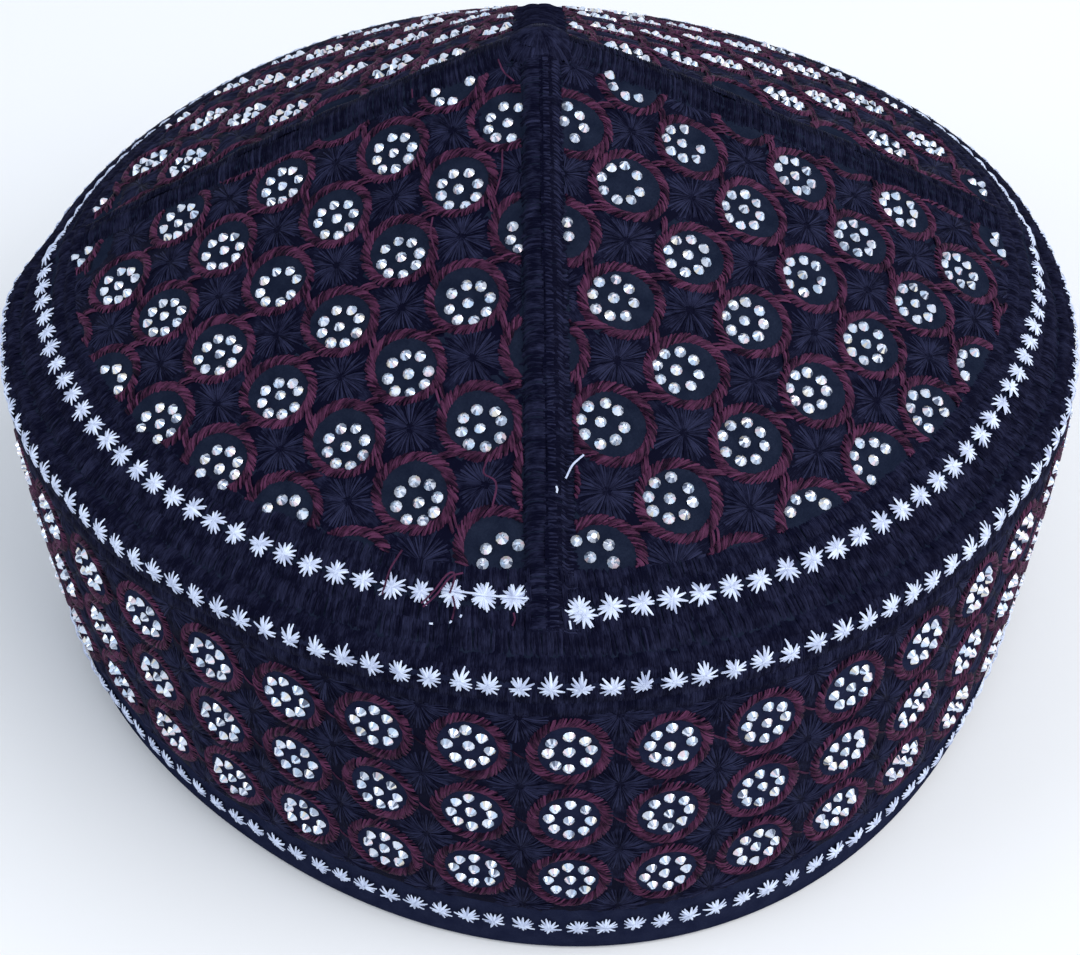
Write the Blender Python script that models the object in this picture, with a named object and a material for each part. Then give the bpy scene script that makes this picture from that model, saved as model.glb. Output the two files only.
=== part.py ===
"""Round embroidered cap: an oval side band and a low crown of four gores, hollow for the head.

Metres, +Z up. The rim rests on z = 0, the front is towards -Y, and azimuths run from the front towards +X.
"""

import math

import bmesh
import bpy

MM = 0.001

# Side band
BAND_RADIUS = 92.4 * MM
BAND_FULLEST_HEIGHT = 11.6 * MM
BAND_PROFILE_ARC = 394 * MM
BAND_WALL = 3.0 * MM
SHOULDER_HEIGHT = 55.9 * MM
RIM_ROUNDING = 0.7 * MM

# Seam between the band and the crown
SEAM_RADIUS = 87.75 * MM
SEAM_HEIGHT = 58.0 * MM
SEAM_GAP = 0.3 * MM

# Crown
STAR_LINE_RADIUS = 81.3 * MM
STAR_LINE_HEIGHT = 61.6 * MM
CROWN_RISE = 40.1 * MM
CROWN_ROUNDNESS = 0.15
GORE_SAG = 1.7 * MM
GORE_WALL = 2.8 * MM
RIB_AZIMUTHS = {"front": 0.0, "right": 92.0, "back": 180.0, "left": 269.5}
RIB_HALF_WIDTH = 2.8 * MM
RIB_LIFT = 1.1 * MM
RIB_END_SHARE = 1.06
TIP_RADIUS = 0.4 * MM

# Plan shape: longer from front to back at the rim, nearly round at the top, a little square and askew
RIM_OVAL = -0.039
RIM_SQUARE = 0.0202
RIM_SKEW = 0.0079
TOP_OVAL = 0.0015
TOP_SQUARE = 0.0108
TOP_SKEW = 0.0057
SQUARE_TURN = math.radians(11.3)
PLAN_SETTLES_HEIGHT = 54.0 * MM

# Behind the side ribs the cap's top edge is drawn in, most of all just behind them
BACK_TUCK = 4.6 * MM
TUCK_START = math.radians(85)
TUCK_FULL = math.radians(99)
TUCK_FADE = 0.75
TUCK_FOOT = 42.0 * MM
TUCK_SHARE = 0.985

# Mesh fineness
BAND_STEPS = 120
GORE_PANEL_STEPS = 20
GORE_ROWS = 17
RIB_COLUMNS = (0.0, 0.3, 0.68, 1.0)
RIB_COLUMN_LIFTS = (0.55, 1.0, 0.8, 0.0)

CLOTH_COLOUR = (0.012, 0.012, 0.018, 1.0)
CROWN_COLOUR = (0.016, 0.016, 0.024, 1.0)


def clear_scene():
    for obj in list(bpy.data.objects):
        bpy.data.objects.remove(obj)


def cloth_material(name, colour):
    material = bpy.data.materials.new(name)
    material.use_nodes = True
    shader = material.node_tree.nodes["Principled BSDF"]
    shader.inputs["Base Color"].default_value = colour
    shader.inputs["Roughness"].default_value = 0.85
    shader.inputs["Metallic"].default_value = 0.0
    return material


def add_mesh_object(name, build, material):
    """Makes one object from a function that fills a bmesh."""
    bm = bmesh.new()
    build(bm)
    bmesh.ops.recalc_face_normals(bm, faces=bm.faces)
    mesh = bpy.data.meshes.new(name)
    bm.to_mesh(mesh)
    bm.free()
    mesh.materials.append(material)
    mesh.shade_smooth()
    mesh.set_sharp_from_angle(angle=math.radians(40))
    obj = bpy.data.objects.new(name, mesh)
    bpy.context.scene.collection.objects.link(obj)
    return obj


def plan_scale(azimuth, height):
    """How far the plan at this height stands out from a circle at this azimuth."""
    settled = min(max(height / PLAN_SETTLES_HEIGHT, 0.0), 1.0)
    oval = RIM_OVAL + (TOP_OVAL - RIM_OVAL) * settled
    square = RIM_SQUARE + (TOP_SQUARE - RIM_SQUARE) * settled
    skew = RIM_SKEW + (TOP_SKEW - RIM_SKEW) * settled
    squared = square * math.cos(4 * (azimuth - SQUARE_TURN))
    return 1.0 - oval * math.cos(2 * azimuth) + skew * math.sin(2 * azimuth) + squared


def smooth_step(value):
    value = min(1.0, max(0.0, value))
    return value * value * (3 - 2 * value)


def back_tuck(azimuth):
    """How far the top edge is drawn in at this azimuth."""
    turned = abs(math.remainder(azimuth, 2 * math.pi))
    beyond = max(0.0, turned - TUCK_FULL) / (math.pi - TUCK_FULL)
    return BACK_TUCK * smooth_step((turned - TUCK_START) / (TUCK_FULL - TUCK_START)) * (1.0 - TUCK_FADE * beyond)


def place(azimuth, radius, height):
    reach = radius * plan_scale(azimuth, height)
    return (reach * math.sin(azimuth), -reach * math.cos(azimuth), height)


def side_radius(height):
    """Outer radius of the band: a shallow arc, fullest a little above the rim."""
    return BAND_RADIUS - (height - BAND_FULLEST_HEIGHT) ** 2 / (2 * BAND_PROFILE_ARC)


def band_profile():
    """(radius, height) round the band's wall, from the rim up the outside and down the inside."""
    outer = [(side_radius(h * MM), h * MM) for h in (RIM_ROUNDING / MM, 6, 15, 25, 35, 45, 51)]
    shoulder = side_radius(SHOULDER_HEIGHT)
    lip = SEAM_RADIUS + SEAM_GAP
    turned_in = [
        (shoulder, SHOULDER_HEIGHT),
        (lip + 0.45 * (shoulder - lip), SEAM_HEIGHT - 0.5 * MM),
        (lip, SEAM_HEIGHT - 0.1 * MM),
    ]
    inner = [(lip, PLAN_SETTLES_HEIGHT)]
    inner += [(side_radius(h * MM) - BAND_WALL, h * MM) for h in (42, 28, 14, RIM_ROUNDING / MM)]
    rim = side_radius(0.0)
    foot = [(rim - BAND_WALL + RIM_ROUNDING, 0.0), (rim - RIM_ROUNDING, 0.0)]
    return outer + turned_in + inner + foot


def build_band(bm):
    profile = band_profile()
    loops = []
    for step in range(BAND_STEPS):
        azimuth = 2 * math.pi * step / BAND_STEPS
        tuck = back_tuck(azimuth)
        shares = [smooth_step((h - TUCK_FOOT) / (SHOULDER_HEIGHT - TUCK_FOOT)) for _, h in profile]
        points = [place(azimuth, r - tuck * share, h) for (r, h), share in zip(profile, shares)]
        loops.append([bm.verts.new(point) for point in points])
    for step, loop in enumerate(loops):
        following = loops[(step + 1) % BAND_STEPS]
        for i in range(len(profile)):
            j = (i + 1) % len(profile)
            bm.faces.new((loop[i], following[i], following[j], loop[j]))


def crown_height(share, across):
    """Height of the cloth. share is 0 at the top and 1 at the star line, across 0 to 1 from rib to rib."""
    fall = (1.0 - CROWN_ROUNDNESS) * share + CROWN_ROUNDNESS * share**2
    sag = GORE_SAG * math.sin(math.pi * across) * max(0.0, 4 * share * (1 - share))
    return STAR_LINE_HEIGHT + CROWN_RISE * (1.0 - fall) - sag


def rib_fade(share):
    """The ribs flatten out between the star line and the seam."""
    return min(1.0, max(0.0, (RIB_END_SHARE - share) / (RIB_END_SHARE - 1.0)))


def gore_columns(radius, start, end):
    """(azimuth, lift) of each column of points across a gore at this radius."""
    clear = SEAM_GAP / 2
    room = 0.85 * (radius * math.sin((end - start) / 2) - clear)
    width = min(RIB_HALF_WIDTH - clear, room)
    rib = [math.asin((clear + width * part) / radius) for part in RIB_COLUMNS]
    first, last = start + rib[-1], end - rib[-1]
    panel = [first + (last - first) * i / GORE_PANEL_STEPS for i in range(1, GORE_PANEL_STEPS)]
    azimuths = [start + a for a in rib] + panel + [end - a for a in reversed(rib)]
    lifts = list(RIB_COLUMN_LIFTS) + [0.0] * len(panel) + list(reversed(RIB_COLUMN_LIFTS))
    return list(zip(azimuths, lifts))


def gore_shares():
    """Rows of points from the tip to the seam, closer together near both ends."""
    tip = TIP_RADIUS / STAR_LINE_RADIUS
    seam = SEAM_RADIUS / STAR_LINE_RADIUS
    near_tip = [tip, 0.02, 0.05]
    middle = [0.1 + (1.0 - 0.1) * i / (GORE_ROWS - 6) for i in range(GORE_ROWS - 5)]
    return near_tip + middle + [(1.0 + seam) / 2, seam]


def build_gore(bm, start, end):
    top, under = [], []
    seam = SEAM_RADIUS / STAR_LINE_RADIUS
    for share in gore_shares():
        radius = share * STAR_LINE_RADIUS
        tucked = smooth_step((share - TUCK_SHARE) / (seam - TUCK_SHARE))
        top_row, under_row = [], []
        for azimuth, lift in gore_columns(radius, start, end):
            cloth = crown_height(share, (azimuth - start) / (end - start))
            x, y, _ = place(azimuth, radius - back_tuck(azimuth) * tucked, STAR_LINE_HEIGHT)
            top_row.append(bm.verts.new((x, y, cloth + lift * RIB_LIFT * rib_fade(share))))
            under_row.append(bm.verts.new((x, y, cloth - GORE_WALL)))
        top.append(top_row)
        under.append(under_row)
    close_between(bm, top, under)


def close_between(bm, top, under):
    """Faces of both grids of points and of the four edges that join them."""
    rows, columns = len(top), len(top[0])
    for r in range(rows - 1):
        for c in range(columns - 1):
            bm.faces.new((top[r][c], top[r + 1][c], top[r + 1][c + 1], top[r][c + 1]))
            bm.faces.new((under[r][c], under[r][c + 1], under[r + 1][c + 1], under[r + 1][c]))
        for c in (0, columns - 1):
            bm.faces.new((top[r][c], top[r + 1][c], under[r + 1][c], under[r][c]))
    for r in (0, rows - 1):
        for c in range(columns - 1):
            bm.faces.new((top[r][c], top[r][c + 1], under[r][c + 1], under[r][c]))


def add_gores(material):
    names = list(RIB_AZIMUTHS)
    for i, name in enumerate(names):
        following = names[(i + 1) % len(names)]
        start = math.radians(RIB_AZIMUTHS[name])
        end = math.radians(RIB_AZIMUTHS[following])
        if end <= start:
            end += 2 * math.pi
        depth = "front" if "front" in (name, following) else "back"
        side = "right" if "right" in (name, following) else "left"
        add_mesh_object(f"gore_{depth}_{side}", lambda bm: build_gore(bm, start, end), material)


clear_scene()
add_mesh_object("band", build_band, cloth_material("band_cloth", CLOTH_COLOUR))
add_gores(cloth_material("crown_cloth", CROWN_COLOUR))
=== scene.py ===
"""Looks of an embroidered kufi: black cloth band and four-gore crown, satin rings, stars and cut stones.

Metres, +Z up, front towards -Y. Azimuths run from the front towards +X, as in the part itself.
"""

import math
from collections import namedtuple

import bpy
import numpy as np
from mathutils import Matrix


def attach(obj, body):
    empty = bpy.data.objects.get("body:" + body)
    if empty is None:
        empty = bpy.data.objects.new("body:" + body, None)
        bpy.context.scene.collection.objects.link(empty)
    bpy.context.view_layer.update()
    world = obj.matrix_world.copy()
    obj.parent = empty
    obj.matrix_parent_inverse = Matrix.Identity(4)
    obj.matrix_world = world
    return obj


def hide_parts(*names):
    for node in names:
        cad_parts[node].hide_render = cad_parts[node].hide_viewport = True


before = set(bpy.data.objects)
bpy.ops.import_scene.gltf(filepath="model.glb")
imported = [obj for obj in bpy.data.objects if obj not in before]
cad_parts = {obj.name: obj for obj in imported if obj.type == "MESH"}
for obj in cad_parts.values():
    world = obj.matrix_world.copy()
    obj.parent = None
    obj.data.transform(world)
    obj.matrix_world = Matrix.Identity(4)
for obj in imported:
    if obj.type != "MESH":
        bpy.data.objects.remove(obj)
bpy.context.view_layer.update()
MM = 0.001
chance = np.random.default_rng(41)

# Side band, the cloth
# One strip of stiffened black cotton bent into an oval ring, hemmed at the rim and turned in at the top,
# where the crown is sewn to it. The wall is 3 mm thick with its stiffening.
BAND_RADIUS = 92.4 * MM
BAND_FULLEST_HEIGHT = 11.6 * MM
BAND_PROFILE_ARC = 394 * MM
BAND_WALL = 3.0 * MM
SHOULDER_HEIGHT = 55.9 * MM
SEAM_RADIUS = 87.75 * MM
SEAM_HEIGHT = 58.0 * MM
SEAM_GAP = 0.3 * MM
RIM_OVAL, TOP_OVAL = -0.039, 0.0015
RIM_SQUARE, TOP_SQUARE = 0.0202, 0.0108
RIM_SKEW, TOP_SKEW = 0.0079, 0.0057
SQUARE_TURN = math.radians(11.3)
PLAN_SETTLES_HEIGHT = 54.0 * MM
BACK_TUCK = 2.7 * MM
TUCK_START_RIGHT, TUCK_START_LEFT, TUCK_FULL = math.radians(62), math.radians(85), math.radians(99)
TUCK_FADE = 0.75
TUCK_FOOT = 42.0 * MM
ROWS_RADIUS = 92.0 * MM
PUCKER = 0.16 * MM
PUCKER_FOOT, PUCKER_TOP, PUCKER_FADE = 2.0 * MM, 57.0 * MM, 10.0 * MM
SHOULDER_CORNER = np.array([-0.2, 1.75]) * MM
RIM_ROUNDING, INNER_ROUNDING = 0.7 * MM, 0.9 * MM
TURNED_IN = 4.0 * MM
SMOOTH_ANGLE = math.radians(50)
BAND_STEPS = 288
BAND_CLOTH = ((0.0080, 0.0104, 0.029), (0.0180, 0.0222, 0.050))
CLOTH_BUMP = (0.35, 0.12 * MM)
WEAVE_PITCH = 3.4


def plan_shape(height):
    """How oval, square and skew the plan is at a height."""
    settled = np.clip(height / PLAN_SETTLES_HEIGHT, 0.0, 1.0)
    pairs = ((RIM_OVAL, TOP_OVAL), (RIM_SQUARE, TOP_SQUARE), (RIM_SKEW, TOP_SKEW))
    return [rim + (top - rim) * settled for rim, top in pairs]


def smooth_step(value):
    value = np.clip(value, 0.0, 1.0)
    return value * value * (3 - 2 * value)


def back_tuck(azimuth):
    """How far the top edge is drawn in behind the side ribs."""
    turned = np.abs((azimuth + math.pi) % math.tau - math.pi)
    start = np.where(np.sin(azimuth) > 0, TUCK_START_RIGHT, TUCK_START_LEFT)
    beyond = np.maximum(0.0, turned - TUCK_FULL) / (math.pi - TUCK_FULL)
    setting_in = smooth_step((turned - start) / (TUCK_FULL - start))
    return BACK_TUCK * setting_in * (1.0 - TUCK_FADE * beyond)


def place(azimuth, radius, height):
    oval, square, skew = plan_shape(height)
    squared = square * np.cos(4 * (azimuth - SQUARE_TURN))
    reach = radius * (1.0 - oval * np.cos(2 * azimuth) + skew * np.sin(2 * azimuth) + squared)
    return np.stack([reach * np.sin(azimuth), -reach * np.cos(azimuth), height + 0.0 * azimuth], -1)


def side_radius(height):
    return BAND_RADIUS - (height - BAND_FULLEST_HEIGHT) ** 2 / (2 * BAND_PROFILE_ARC)


def shoulder_profile(turns):
    """(radius, height) over the rounded top edge, from the side (0) to the seam (1)."""
    side = np.array([side_radius(SHOULDER_HEIGHT), SHOULDER_HEIGHT])
    corner = side + SHOULDER_CORNER
    seam = np.array([SEAM_RADIUS + SEAM_GAP, SEAM_HEIGHT - 0.1 * MM])
    t = np.asarray(turns)[:, None]
    return (1 - t) ** 2 * side + 2 * t * (1 - t) * corner + t**2 * seam


side_heights = np.linspace(0.0, SHOULDER_HEIGHT, 120)
outer_profile = np.concatenate(
    [
        np.stack([side_radius(side_heights), side_heights], -1),
        shoulder_profile(np.linspace(0, 1, 14)[1:]),
    ]
)
outer_reach = np.concatenate([[0.0], np.cumsum(np.linalg.norm(np.diff(outer_profile, axis=0), axis=1))])


def band_face(u, v):
    """A point on the band's outer face: u metres round from the front, v metres up the cloth from the rim."""
    radius = np.interp(v, outer_reach, outer_profile[:, 0])
    height = np.interp(v, outer_reach, outer_profile[:, 1])
    oval, square, _ = plan_shape(height)
    turn = u / ROWS_RADIUS
    azimuth = turn + oval / 2 * np.sin(2 * turn) - 0.7 * square / 4 * np.sin(4 * turn)
    wave = np.sin(9 * turn + 60 * v) + 0.7 * np.sin(17 * turn - 95 * v + 1.3) + 0.5 * np.sin(31 * turn + 2.1)
    fade = np.clip((v - PUCKER_FOOT) / PUCKER_FADE, 0, 1) * np.clip((PUCKER_TOP - v) / PUCKER_FADE, 0, 1)
    tuck = back_tuck(azimuth) * smooth_step((height - TUCK_FOOT) / (SHOULDER_HEIGHT - TUCK_FOOT))
    return place(azimuth, radius - tuck + PUCKER * wave * fade, height)


def closed_profile():
    """Points round the wall (across it, up the cloth): up the outside, down the inside, and the rim."""
    top = outer_reach[-1]
    outside = [(0.0, v) for v in np.linspace(RIM_ROUNDING, top, 46)]
    inside = [(BAND_WALL, v) for v in np.linspace(top - TURNED_IN, INNER_ROUNDING, 22)]
    rim = [(BAND_WALL * share, 0.0) for share in (0.82, 0.5, 0.18)]
    return np.array(outside + inside + rim)


def finish_piece(obj, material):
    """Every piece of the cap moves with its one body."""
    obj.data.materials.clear()
    obj.data.materials.append(material)
    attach(obj, "root")


def start_points(obj):
    """The points of a new primitive, before they are moved to their places on the cap."""
    flat = np.empty(len(obj.data.vertices) * 3, np.float32)
    obj.data.vertices.foreach_get("co", flat)
    return flat.reshape(-1, 3).astype(float)


def move_points(mesh, points):
    mesh.vertices.foreach_set("co", points.ravel().astype(np.float32))


def cloth_uv(obj, u, v):
    """Writes the cloth's own coordinates, in millimetres, as the piece's UV map."""
    layer = obj.data.uv_layers.new(name="cloth")
    corners = np.empty(len(obj.data.loops), np.int32)
    obj.data.loops.foreach_get("vertex_index", corners)
    layer.data.foreach_set("uv", np.stack([u[corners], v[corners]], -1).ravel().astype(np.float32))
    obj.data.uv_layers.active = layer


wall_points = closed_profile()
bpy.ops.object.select_all(action="DESELECT")
bpy.ops.mesh.primitive_torus_add(
    major_segments=BAND_STEPS, minor_segments=len(wall_points), major_radius=1.0, minor_radius=0.4
)
side_band = bpy.context.object
side_band.name = "side_band"
start = start_points(side_band)
azimuth_step = np.arctan2(start[:, 0], -start[:, 1])
round_step = np.arctan2(start[:, 2], np.hypot(start[:, 0], start[:, 1]) - 1.0) % math.tau
which = np.round(round_step / math.tau * len(wall_points)).astype(int) % len(wall_points)
inward, up_cloth = wall_points[which].T
outer = band_face(azimuth_step * ROWS_RADIUS, up_cloth)
shrink = 1.0 - inward / np.hypot(outer[:, 0], outer[:, 1])
outer[:, :2] *= shrink[:, None]
move_points(side_band.data, outer)
cloth_uv(side_band, azimuth_step * ROWS_RADIUS / MM, (up_cloth + inward) / MM)
side_band.data.update()
bpy.ops.object.shade_smooth_by_angle(angle=SMOOTH_ANGLE)


def fill_inputs(tree, node, inputs):
    """Gives each input a value, or links it to another node's output."""
    for socket, value in inputs.items():
        if isinstance(value, bpy.types.NodeSocket):
            tree.links.new(value, node.inputs[socket])
        else:
            node.inputs[socket].default_value = value


def add_node(tree, kind, output, inputs, **settings):
    """Adds a shader node and returns one of its outputs."""
    node = tree.nodes.new("ShaderNode" + kind)
    for name, value in settings.items():
        setattr(node, name, value)
    fill_inputs(tree, node, inputs)
    return node.outputs[output]


def calculate(tree, operation, *values, clamp=False):
    return add_node(tree, "Math", "Value", dict(enumerate(values)), operation=operation, use_clamp=clamp)


def map_range(tree, value, low, high, to_low, to_high):
    """Stretches the span from low to high to the span from to_low to to_high."""
    sockets = ("Value", "From Min", "From Max", "To Min", "To Max")
    return add_node(tree, "MapRange", "Result", dict(zip(sockets, (value, low, high, to_low, to_high))))


def surface_group(name, build):
    """A node group that mixes a dark and a light colour, and gives a height and a roughness.

    build(tree) returns the light colour's share, the height and the roughness.
    """
    tree = bpy.data.node_groups.new(name, "ShaderNodeTree")
    for label in ("Dark", "Light"):
        tree.interface.new_socket(label, in_out="INPUT", socket_type="NodeSocketColor")
    for label, kind in (("Color", "Color"), ("Height", "Float"), ("Roughness", "Float")):
        tree.interface.new_socket(label, in_out="OUTPUT", socket_type="NodeSocket" + kind)
    given = tree.nodes.new("NodeGroupInput").outputs
    share, height, rough = build(tree)
    mixed = {"Factor": share, "A": given["Dark"], "B": given["Light"]}
    colour = add_node(tree, "Mix", "Result", mixed, data_type="RGBA")
    surface = {"Color": colour, "Height": height, "Roughness": rough}
    fill_inputs(tree, tree.nodes.new("NodeGroupOutput"), surface)
    return tree


def cotton_surface(tree):
    """Plain weave of fine cotton: crossing ribs, a slub here and there, and lint. Reads the UV map cloth."""
    where = add_node(tree, "UVMap", "UV", {}, uv_map="cloth")
    rib = {"Vector": where, "Scale": WEAVE_PITCH, "Distortion": 1.4, "Detail": 2.0}
    form = {"wave_type": "BANDS", "wave_profile": "SIN"}
    ribs = [add_node(tree, "TexWave", "Fac", rib, bands_direction=axis, **form) for axis in ("X", "Y")]
    patches = add_node(tree, "TexNoise", "Fac", {"Vector": where, "Scale": 0.35, "Detail": 5.0})
    fine = {"Vector": where, "Scale": 2.6, "Detail": 6.0, "Roughness": 0.75}
    lint = add_node(tree, "TexNoise", "Fac", fine)
    share = map_range(tree, calculate(tree, "MULTIPLY", patches, lint), 0.12, 0.42, 0.0, 1.0)
    height = calculate(tree, "MULTIPLY_ADD", calculate(tree, "MULTIPLY", *ribs), 0.6, lint)
    return share, height, map_range(tree, lint, 0.0, 1.0, 0.72, 0.95)


def new_material(name):
    """A material, its node tree and its shader."""
    material = bpy.data.materials.new(name)
    material.use_nodes = True
    return material, material.node_tree, material.node_tree.nodes["Principled BSDF"]


def fabric(name, group, colours, gloss, bump):
    """A material with a node group's surface, from a dark to a light colour. bump is (strength, depth)."""
    material, tree, shader = new_material(name)
    surface = tree.nodes.new("ShaderNodeGroup")
    surface.node_tree = group
    dark, light = colours
    fill_inputs(tree, surface, {"Dark": (*dark, 1), "Light": (*light, 1)})
    strength, depth = bump
    relief = {"Strength": strength, "Distance": depth, "Height": surface.outputs["Height"]}
    look = {
        "Specular IOR Level": gloss,
        "Base Color": surface.outputs["Color"],
        "Roughness": surface.outputs["Roughness"],
        "Normal": add_node(tree, "Bump", "Normal", relief),
    }
    fill_inputs(tree, shader, look)
    return material


cotton_weave = surface_group("cotton_weave", cotton_surface)
band_cloth = fabric("band_cloth", cotton_weave, BAND_CLOTH, 0.0, CLOTH_BUMP)
finish_piece(side_band, band_cloth)
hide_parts("band")

# Crown, the cloth
# Four gores of the same stiffened cotton, each about a quarter of a low cone. Their edges are turned and
# overstitched, so that every seam stands up as a rib, and their lower edges are sewn into the band's top.
STAR_LINE_RADIUS = 81.3 * MM
STAR_LINE_HEIGHT = 61.6 * MM
CROWN_RISE = 40.1 * MM
CROWN_ROUNDNESS = 0.15
GORE_SAG = 1.7 * MM
GORE_WALL = 2.8 * MM
RIB_HALF_WIDTH = 2.8 * MM
RIB_LIFT, LIFT_AT_BACK = 1.15 * MM, 0.6 * MM
RIB_END_SHARE = 1.06
RIB_CREST = 0.38
BACK_RIB_COSINE = -0.8
TIP_RADIUS = 0.4 * MM
GORE_SPREAD = 1.147
SEAM_SHARE = SEAM_RADIUS / STAR_LINE_RADIUS
TUCK_SHARE = 0.985
Gore = namedtuple("Gore", "name first last middle shift first_row ring_across ring_up turn edges stones_end")
GORE_TABLE = (
    # name, azimuths of the first rib, the last rib and the pattern's middle line, columns' shift, first row
    # from the top, rings' offset from the stones across and up, turn of the stones, widths of the black
    # edge along the first and the last rib (each at the top and at the foot), and reach of the last stones
    # beside those ribs: all in degrees and mm
    ("front_right", 0.0, 92.0, 45.4, 6.35, 13.2, 0.93, -0.89, -5.0, ((2.9, 4.2), (4.2, 4.4)), (84.9, 84.6)),
    ("back_right", 92.0, 180.0, 135.0, 9.1, 16.4, 0.6, -0.6, 0.0, ((2.9, 3.0), (4.2, 4.4)), (86.6, 86.0)),
    ("back_left", 180.0, 269.5, 225.0, -6.6, 16.4, -0.6, -0.6, 0.0, ((4.2, 4.4), (2.9, 3.0)), (86.0, 86.6)),
    ("front_left", 269.5, 360.0, 314.5, -6.28, 14.3, -1.04, 0.7, 5.0, ((4.0, 4.1), (2.9, 3.0)), (86.7, 85.3)),
)
GORES = [Gore(row[0], *map(math.radians, row[1:4]), *row[4:]) for row in GORE_TABLE]
CROWN_CLOTH = ((0.0062, 0.0092, 0.0215), (0.0145, 0.0200, 0.0400))


def crown_point(azimuth, share, first, last):
    """A point on a gore's outer face. share is 0 at the top and 1 at the star line."""
    across = np.clip((azimuth - first) / (last - first), 0.0, 1.0)
    fall = (1.0 - CROWN_ROUNDNESS) * share + CROWN_ROUNDNESS * share**2
    sag = GORE_SAG * np.sin(math.pi * across) * np.maximum(0.0, 4 * share * (1 - share))
    wave = np.sin(60 * across * share + 7 * share) + 0.7 * np.sin(23 * share - 11 * across)
    height = STAR_LINE_HEIGHT + CROWN_RISE * (1.0 - fall) - sag
    height += PUCKER * wave * np.clip(share * 3, 0, 1) * np.clip((1.0 - share) * 8, 0, 1)
    tuck = back_tuck(azimuth) * smooth_step((share - TUCK_SHARE) / (SEAM_SHARE - TUCK_SHARE))
    flat = place(azimuth, share * STAR_LINE_RADIUS - tuck, STAR_LINE_HEIGHT + 0.0 * azimuth)
    flat[..., 2] = height
    return flat


def rib_distance(azimuth, share, first, last):
    """How far a point lies from the nearer seam, in plan."""
    radius = share * STAR_LINE_RADIUS
    gap = np.minimum(azimuth - first, last - azimuth)
    return radius * np.sin(np.minimum(gap, math.pi / 2))


def rib_rise(distance, share, azimuth):
    """Height of the raised seam edge over the gore. The back rib is the lowest."""
    part = np.clip(distance / RIB_HALF_WIDTH, 0.0, 1.0)
    bulge = np.sqrt(np.maximum(0.0, 1.0 - ((part - RIB_CREST) / (1 - RIB_CREST)) ** 2))
    ends = np.clip((RIB_END_SHARE - share) / (RIB_END_SHARE - 1.0), 0.0, 1.0)
    lift = np.where(np.cos(azimuth) < BACK_RIB_COSINE, LIFT_AT_BACK, RIB_LIFT)
    return lift * bulge * ends * np.clip(0.35 + share / 0.18, 0.0, 1.0)


meridian_share = np.linspace(0.0, 1.2, 121)
meridian_fall = (1 - CROWN_ROUNDNESS) * meridian_share + CROWN_ROUNDNESS * meridian_share**2
meridian_sag = 0.62 * GORE_SAG * np.maximum(0.0, 4 * meridian_share * (1 - meridian_share))
meridian = np.stack([STAR_LINE_RADIUS * meridian_share, -CROWN_RISE * meridian_fall - meridian_sag], -1)
meridian_reach = np.concatenate([[0.0], np.cumsum(np.linalg.norm(np.diff(meridian, axis=0), axis=1))])
STAR_LINE_REACH = float(np.interp(1.0, meridian_share, meridian_reach))


def gore_point(gore, azimuth, share, over_ribs=True):
    point = crown_point(azimuth, share, gore.first, gore.last)
    if over_ribs:
        distance = rib_distance(azimuth, share, gore.first, gore.last)
        point[..., 2] += rib_rise(distance, share, azimuth)
    return point


def gore_place(gore, u, v):
    """(azimuth, share) of points of the flat gore, u across and v towards the top, from the tip."""
    share = np.interp(np.hypot(u, v), meridian_reach, meridian_share)
    return gore.middle + GORE_SPREAD * np.arctan2(u, -v), share


def gore_face(gore, over_ribs=False):
    """The gore's outer face as a function of its flat cloth."""
    return lambda u, v: gore_point(gore, *gore_place(gore, u, v), over_ribs)


def slope_way(gore, azimuth):
    """The way down the flat gore, from its tip, at this azimuth."""
    flat_angle = (azimuth - gore.middle) / GORE_SPREAD
    return np.stack([np.sin(flat_angle), -np.cos(flat_angle)], -1)


RIB_COLUMNS = np.linspace(0.0, 1.0, 8)
PANEL_COLUMNS = 44
GORE_ROWS = 70


def gore_azimuths(share, first, last):
    """Azimuth of each column of points, close together over the raised edges."""
    radius = share * STAR_LINE_RADIUS
    clear = SEAM_GAP / 2
    room = 0.85 * (radius * math.sin((last - first) / 2) - clear)
    width = min(RIB_HALF_WIDTH - clear, room)
    edge = np.arcsin((clear + width * RIB_COLUMNS) / radius)
    panel = np.linspace(first + edge[-1], last - edge[-1], PANEL_COLUMNS + 2)[1:-1]
    return np.concatenate([first + edge, panel, last - edge[::-1]])


def add_gore(gore):
    shares = np.linspace(SEAM_SHARE, TIP_RADIUS / STAR_LINE_RADIUS, GORE_ROWS + 1)
    columns = 2 * len(RIB_COLUMNS) + PANEL_COLUMNS
    bpy.ops.object.select_all(action="DESELECT")
    bpy.ops.mesh.primitive_grid_add(x_subdivisions=columns - 1, y_subdivisions=GORE_ROWS, size=2.0)
    obj = bpy.context.object
    obj.name = "crown_" + gore.name
    start = start_points(obj)
    column = np.round((start[:, 0] + 1) / 2 * (columns - 1)).astype(int)
    row = np.round((start[:, 1] + 1) / 2 * GORE_ROWS).astype(int)
    azimuth = np.array([gore_azimuths(s, gore.first, gore.last) for s in shares])[row, column]
    share = shares[row]
    move_points(obj.data, gore_point(gore, azimuth, share))
    reach = np.interp(share, meridian_share, meridian_reach) / MM
    cloth_uv(obj, *(reach[:, None] * slope_way(gore, azimuth)).T)
    bpy.ops.object.mode_set(mode="EDIT")
    bpy.ops.mesh.select_all(action="SELECT")
    bpy.ops.mesh.extrude_region_move(TRANSFORM_OT_translate={"value": (0, 0, -GORE_WALL)})
    bpy.ops.mesh.select_all(action="SELECT")
    bpy.ops.mesh.normals_make_consistent(inside=False)
    bpy.ops.object.mode_set(mode="OBJECT")
    bpy.ops.object.shade_smooth_by_angle(angle=SMOOTH_ANGLE)
    return obj


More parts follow.
